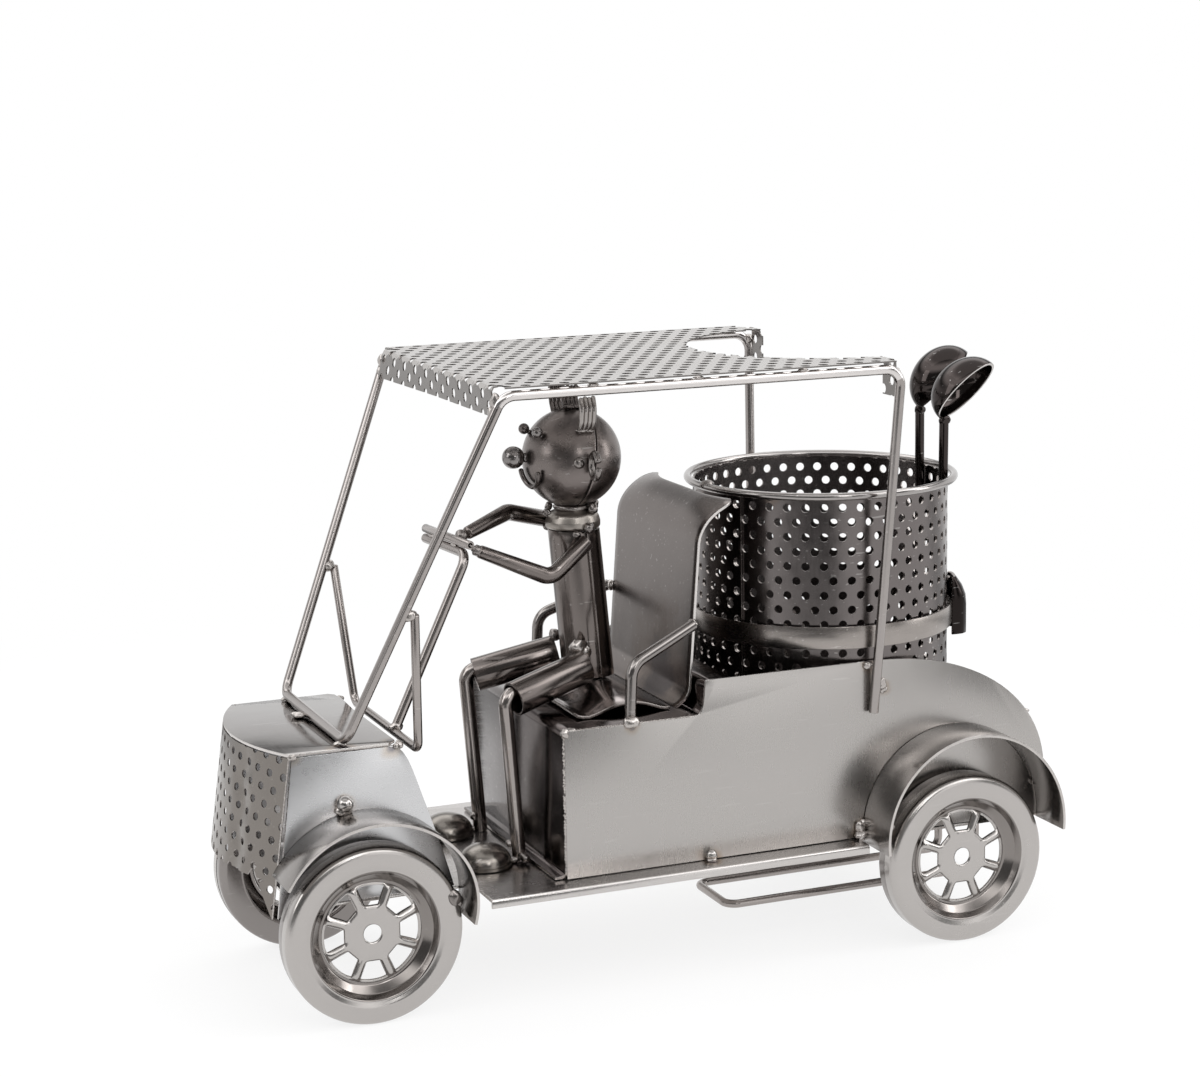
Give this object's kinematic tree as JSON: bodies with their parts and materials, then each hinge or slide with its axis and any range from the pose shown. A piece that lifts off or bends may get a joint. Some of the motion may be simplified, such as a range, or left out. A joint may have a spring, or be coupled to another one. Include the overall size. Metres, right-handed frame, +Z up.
{
  "type": "wine bottle holder",
  "caption": "Free-standing wine bottle holder in the shape of a golf cart with a driver, welded from sheet, tube and wire, with a perforated basket for the bottle.",
  "frame": {"origin": "on the ground under the middle of the object's bounding box", "axes": "+X toward the tail, +Y toward the far side, +Z up; the nose points to -X"},
  "size_m": [0.2922, 0.1338, 0.2098],
  "materials": {
    "satin_steel": "satin, warm light grey, clear coated",
    "gunmetal": "dark glossy grey, clear coated"
  },
  "bodies": {
    "root": {"floor_pan": "satin_steel", "hood_top": "satin_steel", "hood_side_near": "satin_steel", "hood_side_far": "satin_steel", "grille": "satin_steel", "fender_front_near": "satin_steel", "fender_rear_near": "satin_steel", "fender_front_far": "satin_steel", "fender_rear_far": "satin_steel", "wheel_front_near_outer": "satin_steel", "wheel_front_near_inner": "satin_steel", "wheel_rear_near_outer": "satin_steel", "wheel_rear_near_inner": "satin_steel", "wheel_front_far_outer": "satin_steel", "wheel_front_far_inner": "satin_steel", "wheel_rear_far_outer": "satin_steel", "wheel_rear_far_inner": "satin_steel", "side_panel_near": "satin_steel", "side_panel_far": "satin_steel", "seat_box": "gunmetal", "rear_deck": "satin_steel", "basket": "gunmetal", "basket_rim": "gunmetal", "basket_hoop": "gunmetal", "basket_pocket": "gunmetal", "bottle_rest": "satin_steel", "canopy": "satin_steel", "roof_frame": "satin_steel", "windscreen_brace": "satin_steel", "steering_column": "satin_steel", "handlebar": "satin_steel", "seat_pan": "gunmetal", "seat_back": "gunmetal", "armrest_near": "gunmetal", "armrest_far": "gunmetal", "head_front": "gunmetal", "head_rear": "gunmetal", "neck": "gunmetal", "torso": "gunmetal", "arm_near": "gunmetal", "arm_far": "gunmetal", "thigh_near": "gunmetal", "thigh_far": "gunmetal", "shin_near": "gunmetal", "shin_far": "gunmetal", "foot_near": "gunmetal", "foot_far": "gunmetal", "nose": "gunmetal", "eye_near": "gunmetal", "eye_far": "gunmetal", "mouth": "gunmetal", "ear_near": "gunmetal", "ear_far": "gunmetal", "tuft_near": "gunmetal", "tuft_top": "gunmetal", "tuft_far": "gunmetal", "club_shaft_near": "gunmetal", "club_shaft_far": "gunmetal", "club_head_near": "gunmetal", "club_head_far": "gunmetal"}
  },
  "joints": []
}
